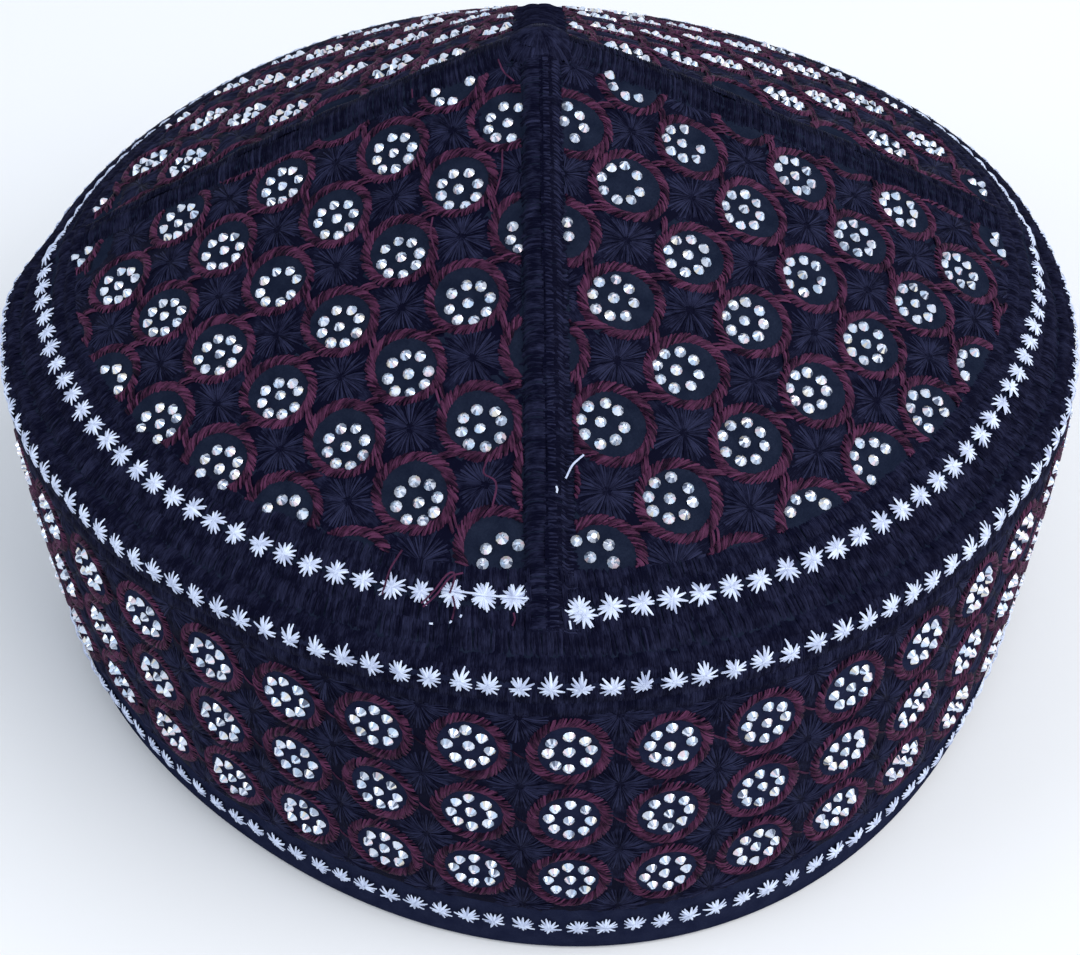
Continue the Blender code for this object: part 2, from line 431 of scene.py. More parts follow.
crown_cloth = fabric("crown_cloth", cotton_weave, CROWN_CLOTH, 0.0, CLOTH_BUMP)
for gore in GORES:
    piece = add_gore(gore)
    finish_piece(piece, crown_cloth)
    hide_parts("gore_" + gore.name)

# Maroon rings
# Satin stitches of maroon rayon thread worked slantwise round a circle, so that each ring looks like a rope.
# Three rows of 41 run round the band, and a square lattice of them covers each gore, cut off by its edges.
BAND_COLUMNS = 41
BAND_ROWS = (17.75 * MM, 30.85 * MM, 44.05 * MM)
FIRST_COLUMN = 2.98 * MM
BAND_RING_RADIUS, BAND_RING_WIDTH = 6.22 * MM, 1.7 * MM
CROWN_PITCH = 13.77 * MM
CROWN_RING_RADIUS, CROWN_RING_WIDTH = 6.28 * MM, 1.6 * MM
COLUMN_PITCH = math.tau * ROWS_RADIUS / BAND_COLUMNS
ROW_PITCH = BAND_ROWS[1] - BAND_ROWS[0]
RING_STITCHES = 92
RING_SLANT = -0.36
RING_STRAND = 0.37 * MM
RING_RISE, LINK_RISE = 0.5 * MM, 0.3 * MM
RING_TIPS = 0.8
FIELD_EDGE = STAR_LINE_REACH - 5.0 * MM
BESIDE_FIELD, BELOW_FIELD = 9.5 * MM, 6.2 * MM
FACE_STEP = 0.05 * MM
MAROON = ((0.0045, 0.0006, 0.0075), (0.090, 0.025, 0.066))
THREAD_BUMP = (0.6, 0.1 * MM)
THREAD_PLACES = 400
# Middle and spread of the stitches' tones, from the thread's dark colour (0) to its light one (1)
RING_TONE, LINK_TONE = (0.38, 0.27), (0.25, 0.15)
# Painted highlights: how much lighter a strand here and there is painted, and the share of such strands
HIGHLIGHT_LIFT, HIGHLIGHT_SHARE = 0.5, 0.12
FLANK_FALL = 0.36


def ways(angle):
    return np.stack([np.cos(angle), np.sin(angle)], -1)


def leftward(way):
    return np.stack([-way[..., 1], way[..., 0]], -1)


def stray(spread, shape):
    """Offsets by chance, in metres, with a spread in millimetres."""
    return chance.normal(0, spread, shape) * MM


def tones(count, tone):
    return np.clip(chance.normal(*tone, count), 0, 1)


def lay_on(face, cloth):
    """Puts points of the flat cloth (u, v, lift) on the curved face."""
    u, v, lift = cloth[..., 0], cloth[..., 1], cloth[..., 2:]
    here = face(u, v)
    normal = np.cross(face(u + FACE_STEP, v) - here, face(u, v + FACE_STEP) - here)
    normal /= np.linalg.norm(normal, axis=-1, keepdims=True)
    return here + lift * normal


def satin(starts, ends, width, rise, bed=0.0, stations=4, tips=0.55):
    """Stitches as low ridges on the flat cloth: stitches x stations x (left, crest, right) x (u, v, lift)."""
    t = np.linspace(0, 1, stations)
    along = ends - starts
    length = np.linalg.norm(along, axis=1, keepdims=True)
    side = leftward(along) / np.maximum(length, 1e-9)
    middle = starts[:, None] + along[:, None] * t[None, :, None]
    width = np.broadcast_to(np.asarray(width, float), (len(starts), 2))
    taper = tips + (1 - tips) * (4 * t * (1 - t)) ** 0.5
    widths = (width[:, :1] * (1 - t) + width[:, 1:] * t) * taper
    crest = bed + rise * np.sqrt(4 * t * (1 - t)) + (0.12 * tips - 0.09) * MM
    flank = np.maximum(crest - FLANK_FALL * widths, bed - 0.10 * MM * (1.7 - tips))
    cloth = np.empty((len(starts), stations, 3, 3))
    for k, sign in enumerate((-0.5, 0.0, 0.5)):
        cloth[:, :, k, :2] = middle + sign * widths[..., None] * side[:, None]
        cloth[:, :, k, 2] = crest if sign == 0.0 else flank
    return cloth


def thread_uv(cloth):
    """Each stitch's own coordinates, in millimetres: along it, and across it from a place of its own."""
    line = cloth[:, :, 1, :2]
    along = np.linalg.norm(line - line[:, :1], axis=-1)
    half = np.linalg.norm(cloth[:, :, 0, :2] - line, axis=-1)
    own = chance.uniform(0, THREAD_PLACES, (len(cloth), 1)) * MM
    u = np.repeat(along[..., None] + 3 * own[..., None], 3, axis=2)
    v = np.stack([own - half, own + 0 * half, own + half], -1)
    return np.stack([u, v], -1) / MM


def batch(face, cloth, tone):
    """Stitches laid on a face, their UV coordinates and their tones, given the tones' middle and spread."""
    return lay_on(face, cloth), thread_uv(cloth), tones(len(cloth), tone)


def ring_batch(face, cloth):
    """Mostly even stitches, with a strand here and there painted lighter: a painted highlight."""
    laid, uv, tone = batch(face, cloth, RING_TONE)
    return laid, uv, tone + HIGHLIGHT_LIFT * (chance.uniform(0, 1, len(cloth)) < HIGHLIGHT_SHARE)


def add_object(name, data):
    obj = bpy.data.objects.new(name, data)
    bpy.context.scene.collection.objects.link(obj)
    return obj


def thread_object(name, batches, material):
    """Joins stitches laid on the cloth into one object. Each batch is (points, uv, tones of the stitches)."""
    points, uvs, shades, quads, used = [], [], [], [], 0
    for laid, uv, tone in batches:
        count, stations = laid.shape[:2]
        grid = used + np.arange(count * stations * 3).reshape(count, stations, 3)
        corners = [grid[:, :-1, :-1], grid[:, 1:, :-1], grid[:, 1:, 1:], grid[:, :-1, 1:]]
        quads.append(np.stack(corners, -1).reshape(-1, 4))
        points.append(laid.reshape(-1, 3))
        uvs.append(uv.reshape(-1, 2))
        shades.append(np.repeat(tone, stations * 3))
        used += count * stations * 3
    points, uvs, shades, quads = map(np.concatenate, (points, uvs, shades, quads))
    mesh = bpy.data.meshes.new(name)
    mesh.vertices.add(len(points))
    move_points(mesh, points)
    mesh.loops.add(quads.size)
    mesh.loops.foreach_set("vertex_index", quads.ravel().astype(np.int32))
    mesh.polygons.add(len(quads))
    mesh.polygons.foreach_set("loop_start", np.arange(0, quads.size, 4, dtype=np.int32))
    mesh.update(calc_edges=True)
    mesh.shade_smooth()
    layer = mesh.uv_layers.new(name="stitch")
    layer.data.foreach_set("uv", uvs[quads.ravel()].ravel().astype(np.float32))
    tone = mesh.attributes.new("tone", "FLOAT", "POINT")
    tone.data.foreach_set("value", shades.astype(np.float32))
    finish_piece(add_object(name, mesh), material)


def thread_surface(tree):
    """Twisted fibres along each stitch. Reads the UV map stitch and the attribute tone, its own shade."""
    where = add_node(tree, "UVMap", "UV", {}, uv_map="stitch")
    twist = {"Vector": where, "Scale": (0.9, 9.0, 1.0), "Rotation": (0.0, 0.0, 0.16)}
    along = add_node(tree, "Mapping", "Vector", twist)
    fine = {"Vector": along, "Scale": 1.0, "Detail": 3.0, "Roughness": 0.6}
    fibre = add_node(tree, "TexNoise", "Fac", fine)
    tone = add_node(tree, "Attribute", "Fac", {}, attribute_name="tone")
    body = add_node(tree, "TexCoord", "Object", {})
    blotch = add_node(tree, "TexNoise", "Fac", {"Vector": body, "Scale": 520.0, "Detail": 4.0})
    own = calculate(tree, "ADD", tone, map_range(tree, blotch, 0.3, 0.7, -0.3, 0.3))
    share = calculate(tree, "ADD", map_range(tree, fibre, 0.32, 0.68, -0.35, 0.35), own, clamp=True)
    return share, fibre, map_range(tree, fibre, 0.0, 1.0, 0.38, 0.66)


def ring_stitches(centres, radius, width):
    """Slanted stitches of slightly uneven rings about these centres, as starts and ends on the flat cloth."""
    count = len(centres)
    shape = (count, RING_STITCHES)
    angle = np.arange(RING_STITCHES) * math.tau / RING_STITCHES
    angle = angle[None] + chance.uniform(0, 1, (count, 1)) + chance.normal(0, 0.02, shape)
    phase = chance.uniform(0, math.tau, (2, count, 1))
    uneven = 1 + 0.016 * np.sin(2 * angle + phase[0]) + 0.011 * np.sin(3 * angle + phase[1])
    inner = (radius - width) * uneven + stray(0.05, shape)
    outer = radius * uneven + stray(0.05, shape)
    slant = RING_SLANT * (1 + 0.2 * np.cos(angle - phase[0])) + chance.normal(0, 0.045, shape)
    starts = centres[:, None] + inner[..., None] * ways(angle - slant / 2)
    ends = centres[:, None] + outer[..., None] * ways(angle + slant / 2)
    return starts.reshape(-1, 2), ends.reshape(-1, 2)


def link_stitches(centres, links, count):
    """Stitches that carry the thread over from a ring to the next one, slanted as the rings' own."""
    starts, ends = [], []
    for along in np.array(links):
        way = along / np.linalg.norm(along)
        side = leftward(way)
        slant = (0.8 * way - 0.6 * side) * 1.35 * MM
        for offset in np.linspace(-0.5, 0.5, count):
            middle = centres + along / 2 + (offset * side + chance.normal(0, 0.1, centres.shape)) * MM
            starts.append(middle - slant)
            ends.append(middle + slant)
    return np.concatenate(starts), np.concatenate(ends)


def edge_gap(gore, azimuth, share):
    """How far points lie, in plan, from the black edges along the gore's two ribs."""
    gaps = []
    for turn, (top, foot) in zip((azimuth - gore.first, gore.last - azimuth), gore.edges):
        off = share * STAR_LINE_RADIUS * np.sin(np.clip(turn, -math.pi / 2, math.pi / 2))
        gaps.append(off - (top + (foot - top) * share) * MM)
    return np.minimum(*gaps)


def inside_field(gore, places, clear=0.0, edge=FIELD_EDGE):
    """Whether places of a gore lie between the black edges of its ribs and above its border."""
    u, v = places.T
    return (edge_gap(gore, *gore_place(gore, u, v)) > clear) & (np.hypot(u, v) < edge)


def trim(starts, ends, widths, kept):
    """Cuts stitches off where they leave the places that kept allows, and drops those that lie outside."""
    t = np.linspace(0, 1, 13)
    spots = starts[:, None] + (ends - starts)[:, None] * t[None, :, None]
    inside = kept(spots.reshape(-1, 2)).reshape(-1, len(t))
    keep = inside.sum(1) > 2
    starts, ends, widths, inside = starts[keep], ends[keep], widths[keep], inside[keep]
    near = t[inside.argmax(1)][:, None]
    far = 1.0 - t[inside[:, ::-1].argmax(1)][:, None]
    along, wider = ends - starts, widths[:, 1:] - widths[:, :1]
    widths = widths[:, :1] + wider * np.concatenate([near, far], 1)
    return starts + along * near, starts + along * far, widths


MOVED_PLACES = {
    # Places that sit off the lattice: gore, column and row, and how far across and up, in mm
    ("front_left", -3, 4): (-2.9, -0.9),
    ("front_left", 1, 0): (-1.3, -0.9),
    ("front_right", -1, 0): (-0.2, -1.1),
    ("front_right", -1, 2): (0.0, -0.9),
    ("front_right", 0, 0): (0.2, -0.7),
    ("front_right", 3, 4): (2.3, -1.9),
    ("front_left", 4, 4): (0.7, 1.0),
    ("back_left", 4, 4): (-1.2, -3.0),
}
MOVED_RINGS = {
    # Rings that sit off their stones by more than the others
    ("front_left", 4, 4): (-0.7, 0.0),
    ("front_right", 3, 4): (-0.6, 2.4),
    ("front_right", 0, 0): (-0.2, 0.5),
}


def moved(gore, centres, nodes, moves):
    for (name, column, row), move in moves.items():
        if name == gore.name:
            centres[(nodes == (column, row)).all(1)] += np.array(move) * MM


def gore_lattice(gore, ahead=0.0):
    """Centres of the square lattice of stone clusters on a flat gore, or of places between them."""
    columns, rows = np.meshgrid(np.arange(-6, 7), np.arange(-1, 7))
    nodes = np.stack([columns.ravel(), rows.ravel()], -1)
    u = gore.shift * MM + (nodes[:, 0] + ahead) * CROWN_PITCH
    v = -(gore.first_row * MM + (nodes[:, 1] + ahead) * CROWN_PITCH)
    centres = np.stack([u, v], -1)
    kept = inside_field(gore, centres, -BESIDE_FIELD, FIELD_EDGE + BELOW_FIELD) & (v < 0)
    if ahead == 0.0:
        moved(gore, centres, nodes, MOVED_PLACES)
    return centres[kept], nodes[kept]


def ring_centres(gore):
    """The rings were stitched first, and the stones were set a little off their middles."""
    centres, nodes = gore_lattice(gore)
    centres = centres + np.array([gore.ring_across, gore.ring_up]) * MM
    moved(gore, centres, nodes, MOVED_RINGS)
    return centres + stray(0.12, centres.shape)


def band_lattice(rows, ahead=0.0):
    """Centres of the rings on the band's flat cloth, or of places ahead of them by a share of the pitch."""
    columns = FIRST_COLUMN + (np.arange(BAND_COLUMNS) + ahead) * COLUMN_PITCH
    return np.array([(u, v) for v in rows for u in columns])


embroidery_thread = surface_group("embroidery_thread", thread_surface)
maroon_thread = fabric("maroon_thread", embroidery_thread, MAROON, 0.06, THREAD_BUMP)
band_centres = band_lattice(BAND_ROWS)
centres = band_centres + stray(0.12, band_centres.shape)
starts, ends = ring_stitches(centres, BAND_RING_RADIUS, BAND_RING_WIDTH)
ring_batches = [ring_batch(band_face, satin(starts, ends, RING_STRAND, RING_RISE, tips=RING_TIPS))]
for centres, way, count in (
    (band_centres, (COLUMN_PITCH, 0.0), 1),
    (band_centres[: 2 * BAND_COLUMNS], (0.0, ROW_PITCH), 2),
):
    starts, ends = link_stitches(centres, [way], count)
    ring_batches.append(batch(band_face, satin(starts, ends, RING_STRAND, LINK_RISE), LINK_TONE))
thread_object("band_rings", ring_batches, maroon_thread)
ring_batches = []
for gore in GORES:
    centres = ring_centres(gore)
    starts, ends = ring_stitches(centres, CROWN_RING_RADIUS, CROWN_RING_WIDTH)
    link_starts, link_ends = link_stitches(centres, [(CROWN_PITCH, 0.0), (0.0, CROWN_PITCH)], 3)
    starts, ends = np.concatenate([starts, link_starts]), np.concatenate([ends, link_ends])
    widths = np.full((len(starts), 2), RING_STRAND)
    starts, ends, widths = trim(starts, ends, widths, lambda spots: inside_field(gore, spots))
    cloth = satin(starts, ends, widths, RING_RISE, tips=RING_TIPS)
    ring_batches.append(ring_batch(gore_face(gore), cloth))
thread_object("crown_rings", ring_batches, maroon_thread)

# Black eyelets
# Between the rings the ground is filled with black stitches that run in to a small pierced eye, so that each
# gap is a four-cornered patch of radial thread round a dark hole, over a bed of the same thread painted
# darker: painted shade in the hole and between the stitches.
EYE_RADIUS = 0.62 * MM
EYELET_STITCHES = 60
EYELET_REACH = 4.6 * MM
SHADE_BED_STITCHES = 20
FIELD_FOOT, FIELD_TOP = 10.2 * MM, 51.2 * MM
BLACK = ((0.0023, 0.0026, 0.0112), (0.0212, 0.0240, 0.0585))
EYELET_EYE_WIDTH, EYELET_WIDTH = 0.13 * MM, 0.5 * MM
UNDER_RING = 0.7 * MM
# Half the gap from ring to ring across and up, and the rings' radius
BAND_GAP = (COLUMN_PITCH / 2, ROW_PITCH / 2, BAND_RING_RADIUS)
CROWN_GAP = (CROWN_PITCH / 2, CROWN_PITCH / 2, CROWN_RING_RADIUS)


def gap_reach(way, gap):
    """How far it is from a gap's eye to the rings round it, or to the next gap, along each way."""
    half_across, half_up, ring_radius = gap
    size = np.maximum(np.abs(way), 0.3)
    reach = np.minimum(half_across / size[:, 0], half_up / size[:, 1])
    reach = np.minimum(reach, max(half_across, half_up))
    for right, upper in ((1, 1), (-1, 1), (-1, -1), (1, -1)):
        ahead = way @ np.array([right * half_across, upper * half_up])
        aside = ahead**2 - (half_across**2 + half_up**2 - ring_radius**2)
        hit = np.where((aside > 0) & (ahead > 0), ahead - np.sqrt(np.maximum(aside, 0)), np.inf)
        reach = np.minimum(reach, hit + UNDER_RING)
    return reach


def spokes(centres, way, near, far, widths):
    """Stitches along these ways from each centre, between two distances: starts, ends and widths."""
    starts = centres[:, None] + way[None] * near[..., None]
    ends = centres[:, None] + way[None] * far[..., None]
    return starts.reshape(-1, 2), ends.reshape(-1, 2), widths.reshape(-1, 2)


def eyelet_stitches(centres, gap):
    """Radial stitches from each eye towards the rings round it."""
    turn = np.arange(EYELET_STITCHES) + chance.normal(0, 0.22, EYELET_STITCHES)
    way = ways(turn * math.tau / EYELET_STITCHES)
    reach = np.minimum(gap_reach(way, gap) - 0.4 * MM, EYELET_REACH)
    reach = reach[None] * chance.uniform(0.84, 1.05, (len(centres), EYELET_STITCHES))
    eye = EYE_RADIUS * chance.uniform(0.8, 1.35, reach.shape)
    widths = np.stack([np.full(reach.shape, EYELET_EYE_WIDTH), np.minimum(reach * 0.105, EYELET_WIDTH)], -1)
    return spokes(centres, way, eye, reach, widths)


def shade_bed_stitches(centres, gap):
    """Broad stitches under the whole gap, from the eye's middle to the rings, painted dark: painted shade in
    the eye and between the stitches.
    """
    way = ways(np.arange(SHADE_BED_STITCHES) * math.tau / SHADE_BED_STITCHES)
    reach = np.broadcast_to(gap_reach(way, gap), (len(centres), SHADE_BED_STITCHES))
    widths = np.stack([np.full(reach.shape, 0.5 * MM), reach * math.tau / SHADE_BED_STITCHES * 1.9], -1)
    return spokes(centres, way, 0.0 * reach, reach, widths)


def gap_batches(face, centres, gap, kept):
    """The bed of painted shade and the eyelet stitches of these gaps, cut off where kept says."""
    batches = []
    for stitches, rise, bed, tone in (
        # the bed's tone lies below the thread's dark colour: painted shade
        (shade_bed_stitches, 0.03 * MM, 0.1 * MM, (-0.05, 0.15)),
        (eyelet_stitches, 0.22 * MM, 0.14 * MM, (0.44, 0.26)),
    ):
        starts, ends, widths = trim(*stitches(centres, gap), kept)
        cloth = satin(starts, ends, widths, rise, bed, stations=3)
        batches.append((lay_on(face, cloth), thread_uv(cloth), chance.normal(*tone, len(cloth))))
    return batches


black_thread = fabric("black_thread", embroidery_thread, BLACK, 0.02, THREAD_BUMP)
eyes = band_lattice([BAND_ROWS[0] + (k - 0.5) * ROW_PITCH for k in range(4)], 0.5)
eyelet_batches = gap_batches(
    band_face, eyes, BAND_GAP, lambda spots: (spots[:, 1] > FIELD_FOOT) & (spots[:, 1] < FIELD_TOP)
)
thread_object("band_eyelets", eyelet_batches, black_thread)
eyelet_batches = []
for gore in GORES:
    eyes = gore_lattice(gore, 0.5)[0] + np.array([gore.ring_across, gore.ring_up]) * MM
    eyelet_batches += gap_batches(gore_face(gore), eyes, CROWN_GAP, lambda spots: inside_field(gore, spots))
thread_object("crown_eyelets", eyelet_batches, black_thread)

# Black satin borders
# Close satin stitching in black rayon: a raised border inside the crown's star line, the crown's edge between
# that line and the seam, and a strip under the band's upper star line. The stitches run up and down the cap.
SATIN_SPACING = 0.38 * MM
BORDER_ROWS = ((-5.4, -2.5), (-3.1, -0.2), (0.2, 3.4), (2.8, 6.4))
SEAM_REACH = float(np.interp(SEAM_SHARE, meridian_share, meridian_reach))
STRIP_ROWS = ((50.4, 53.2), (52.7, 55.6), (56.4, 58.5))
UNDER_RIB = math.radians(1.6)
SATIN_STRAND = SATIN_SPACING * 1.25
BORDER_RISE, STRIP_RISE = 0.4 * MM, 0.34 * MM
SATIN_TIPS = 0.85
SEAM_STITCHES = 940
SEAM_STRAND = 0.36
BAND_BITE, CROWN_BITE = (0.8, 1.4), (0.007, 0.016)
# The seam's stitches are real, but their darker tone than the borders' is painted shade in the seam's groove.
BORDER_TONE, SEAM_SHADE_TONE = (0.2, 0.15), (0.12, 0.12)
FOOT_ROWS = STAR_LINE_REACH + 2.5 * MM


def is_side_rib(rib):
    return abs(math.sin(rib)) > 0.5


def radial_satin(gore, near, far):
    """Stitches along the slope of a gore, from reach near to reach far, all the way between its ribs."""
    foot = near > FOOT_ROWS
    begin, end = (0.0 if foot or is_side_rib(rib) else UNDER_RIB for rib in (gore.first, gore.last))
    count = int((gore.last - gore.first) * STAR_LINE_RADIUS / SATIN_SPACING)
    azimuth = np.linspace(gore.first + begin, gore.last - end, count) + chance.normal(0, 0.0012, count)
    way = slope_way(gore, np.clip(azimuth, gore.first + 0.002, gore.last - 0.002))
    slant = leftward(way) * chance.normal(0.12, 0.09, (count, 1)) * MM
    begin = near + stray(0.1, (count, 1))
    finish = far + stray(0.1, (count, 1))
    return satin(way * begin - slant, way * finish + slant, SATIN_STRAND, BORDER_RISE, tips=SATIN_TIPS)


def upright_satin(low, high):
    """Stitches up the band's cloth, all the way round, from height low to height high."""
    count = int(math.tau * ROWS_RADIUS / SATIN_SPACING)
    u = np.arange(count) * math.tau * ROWS_RADIUS / count
    slant = chance.normal(0.08, 0.08, count) * MM
    foot = np.stack([u - slant, low + stray(0.1, count)], -1)
    head = np.stack([u + slant, high + stray(0.08, count)], -1)
    return satin(foot, head, SATIN_STRAND, STRIP_RISE, tips=SATIN_TIPS)


def seam_batch():
    """Stitches over the seam, from the band's turned edge to the crown's, all the way round, toned darker as
    painted shade.
    """
    u = np.arange(SEAM_STITCHES) * math.tau * ROWS_RADIUS / SEAM_STITCHES
    below = band_face(u, outer_reach[-1] - chance.uniform(*BAND_BITE, SEAM_STITCHES) * MM)
    azimuth = np.arctan2(below[:, 0], -below[:, 1]) % math.tau
    above = crown_point(azimuth, SEAM_SHARE - chance.uniform(*CROWN_BITE, SEAM_STITCHES), 0.0, math.tau)
    along = np.linspace(0, 1, 4)[None, :, None]
    crest = below[:, None] * (1 - along) + above[:, None] * along
    outward = np.stack([np.sin(azimuth), -np.cos(azimuth), 1.2 + 0 * azimuth], -1) / 1.56
    sideways = np.stack([np.cos(azimuth), np.sin(azimuth), 0 * azimuth], -1)
    crest = crest + outward[:, None] * (0.12 + 0.42 * np.sin(math.pi * along)) * MM
    left, right = (
        crest + (side * SEAM_STRAND * sideways[:, None] - 0.22 * outward[:, None]) * MM for side in (-1, 1)
    )
    laid = np.stack([left, crest, right], 2)
    uv = np.zeros(laid.shape[:3] + (2,))
    uv[..., 0] = along[..., 0][..., None] * 2.5 + chance.uniform(0, THREAD_PLACES, (SEAM_STITCHES, 1, 1))
    across = np.array([-SEAM_STRAND, 0.0, SEAM_STRAND])
    uv[..., 1] = across + chance.uniform(0, THREAD_PLACES, (SEAM_STITCHES, 1, 1))
    return laid, uv, tones(SEAM_STITCHES, SEAM_SHADE_TONE)


border_batches = []
for gore in GORES:
    face = gore_face(gore, over_ribs=True)
    for near, far in BORDER_ROWS:
        end = min(STAR_LINE_REACH + far * MM, SEAM_REACH - 0.2 * MM)
        cloth = radial_satin(gore, STAR_LINE_REACH + near * MM, end)
        border_batches.append(batch(face, cloth, BORDER_TONE))
thread_object("crown_borders", border_batches, black_thread)
strip_batches = [batch(band_face, upright_satin(*row), BORDER_TONE) for row in np.array(STRIP_ROWS) * MM]
thread_object("band_strip", strip_batches + [seam_batch()], black_thread)

# Ribs
# The turned edges of two gores side by side, each wrapped with black satin stitches across the rib, which
# meet in a groove along the seam.
RIB_START = 1.2 * MM
RIB_END_REACH, SIDE_RIB_END_REACH = STAR_LINE_REACH + 3.4 * MM, STAR_LINE_REACH - 3.6 * MM
SEAM_OVERLAP, SIDE_SEAM_OVERLAP = 0.12 * MM, 0.25 * MM
# Spacing of the stitches, their thickness and their tone
CLOSE_STITCHES = (0.40 * MM, 0.46 * MM, 0.18)
BED_OF_LADDER = (0.42 * MM, 0.56 * MM, -0.1)
LADDER_STITCHES = (0.58 * MM, 0.32 * MM, 0.5)
LADDER_SPANS = ((0.1, 0.4), (0.55, 1.0))
STITCH_LIFT, LADDER_LIFT = 0.24 * MM, 0.34 * MM
# The top, where the four ribs meet, is closed over with a low mound of radial stitches.
MOUND_TOP = 102.5 * MM
MOUND_FALL = 0.1 / MM
MOUND_ROWS = ((-0.6, 2.3, 26), (1.7, 3.9, 48), (3.2, 5.7, 72))
MOUND_STRAND, MOUND_RISE = 0.62 * MM, 0.2 * MM
MOUND_TONE = (0.35, 0.15)
TONE_SPREAD = 0.17


def rib_stitches(gore, at_start, stitch, span=(0.0, 1.0), lift=STITCH_LIFT):
    """Stitches over one raised edge, laid in plan distance from the seam and reach from the top."""
    spacing, thickness, tone = stitch
    top, foot = gore.edges[0 if at_start else 1]
    beside = is_side_rib(gore.first if at_start else gore.last)
    end = SIDE_RIB_END_REACH if beside else RIB_END_REACH
    overlap = SIDE_SEAM_OVERLAP if beside else SEAM_OVERLAP
    reach = np.arange(RIB_START, end, spacing)
    reach = reach + chance.normal(0, 0.16, len(reach)) * spacing
    slope = chance.normal(0.1, 0.22, len(reach)) * MM
    stations = np.linspace(0, 1, 7)
    share = np.interp(reach[:, None] + slope[:, None] * (stations - 0.5), meridian_reach, meridian_share)
    outer = (top + (foot - top) * reach / STAR_LINE_REACH) * MM
    outer = np.minimum(outer + stray(0.2, len(reach)), 0.66 * reach)
    begin = span[0] * outer - overlap * (span[0] == 0.0)
    distance = begin[:, None] + (span[1] * outer - begin)[:, None] * stations
    half = thickness / 2 / STAR_LINE_REACH
    own = chance.uniform(0, THREAD_PLACES, (len(reach), 1))
    sides, uvs = [], []
    for k in (-1, 0, 1):
        part = share + k * half * np.where((stations > 0.9) | ((stations < 0.1) & (span[0] > 0)), 0.5, 1.0)
        turn = np.arcsin(np.clip(distance / (part * STAR_LINE_RADIUS), -0.5, 0.99))
        azimuth = gore.first + turn if at_start else gore.last - turn
        point = gore_point(gore, azimuth, part, over_ribs=False)
        rise = rib_rise(distance, part, azimuth) + (lift if k == 0 else 0.0)
        point[..., 2] += rise * np.where((stations == 1) & (span[1] == 1.0), 0.3, 1.0)
        sides.append(point)
        uvs.append(np.stack([distance / MM + 3 * own, own + k * thickness / 2 / MM + 0 * distance], -1))
    if at_start:
        sides.reverse()
    return np.stack(sides, 2), np.stack(uvs, 2), chance.normal(tone, TONE_SPREAD, len(reach))


def mound_face(u, v):
    return np.stack([u, v, MOUND_TOP - MOUND_FALL * (u**2 + v**2)], -1)


rib_batches = []
for gore in GORES:
    for at_start in (True, False):
        if gore.name == "front_right" and at_start:
            rib_batches.append(rib_stitches(gore, at_start, BED_OF_LADDER))
            for span in LADDER_SPANS:
                rib_batches.append(rib_stitches(gore, at_start, LADDER_STITCHES, span, LADDER_LIFT))
        else:
            rib_batches.append(rib_stitches(gore, at_start, CLOSE_STITCHES))
for near, far, count in MOUND_ROWS:
    way = ways(np.arange(count) * math.tau / count) * MM
    begin = near + chance.uniform(0, 0.4, (count, 1))
    finish = far + chance.normal(0, 0.25, (count, 1))
    cloth = satin(way * begin, way * finish, MOUND_STRAND, MOUND_RISE)
    rib_batches.append(batch(mound_face, cloth, MOUND_TONE))
thread_object("ribs", rib_batches, black_thread)

# White stars
# Little stars of cold white thread, fourteen straight stitches from one centre: a line near the rim and one
# near the top of the band, and one along the crown's lower edge, which stops at each rib.
STAR_RADIUS = 1.78 * MM
STAR_RAYS = 14
STARS_ROUND_BAND = 137
STAR_STRAND = (0.54 * MM, 0.32 * MM)
STAR_PROFILE = np.array([1.0, 0.95, 0.8, 0.55, 0.1])
STAR_BED, STAR_CREST = 0.3, 0.42
STAR_FLANKS = np.array([-0.14, 0.0, -0.14])
STAR_TONE = (0.6, 0.2)
# Heights of the band's two lines up its cloth, and how far each starts beside the front
STAR_LINES = ((6.5 * MM, -0.02 * MM), (56.0 * MM, 0.5 * MM))
CROWN_STAR_PITCH = 4.22 * MM
FIRST_STAR_AHEAD = math.radians(3.1)
FIRST_STAR_AT_SIDE = math.radians(0.7)
LINE_RISE, RISE_SPAN = 1.25 * MM, math.radians(24)
BACK_LINE_DROP = 3.4 * MM
WHITE = ((0.33, 0.38, 0.55), (0.68, 0.76, 0.95))


def star_stitches(centres):
    """Rays of each star, thick in the middle and pointed outside, each set a little higher than the last."""
    count = len(centres)
    angle = np.arange(STAR_RAYS) * math.tau / STAR_RAYS
    angle = angle[None] + chance.uniform(0, 0.6, (count, 1)) + chance.normal(0, 0.1, (count, STAR_RAYS))
    length = STAR_RADIUS * np.clip(chance.normal(0.98, 0.13, angle.shape), 0.65, 1.2)
    starts, ends, _ = spokes(centres, ways(angle), np.full(angle.shape, -0.3 * MM), length, length)
    cloth = satin(starts, ends, STAR_STRAND, 0.0, stations=len(STAR_PROFILE))
    above = chance.uniform(0, 0.12, (count * STAR_RAYS, 1, 1))
    cloth[..., 2] = (STAR_BED + STAR_CREST * STAR_PROFILE[None, :, None] + STAR_FLANKS + above) * MM
    return cloth


def star_batch(face, centres):
    return batch(face, star_stitches(centres + stray(0.07, centres.shape)), STAR_TONE)


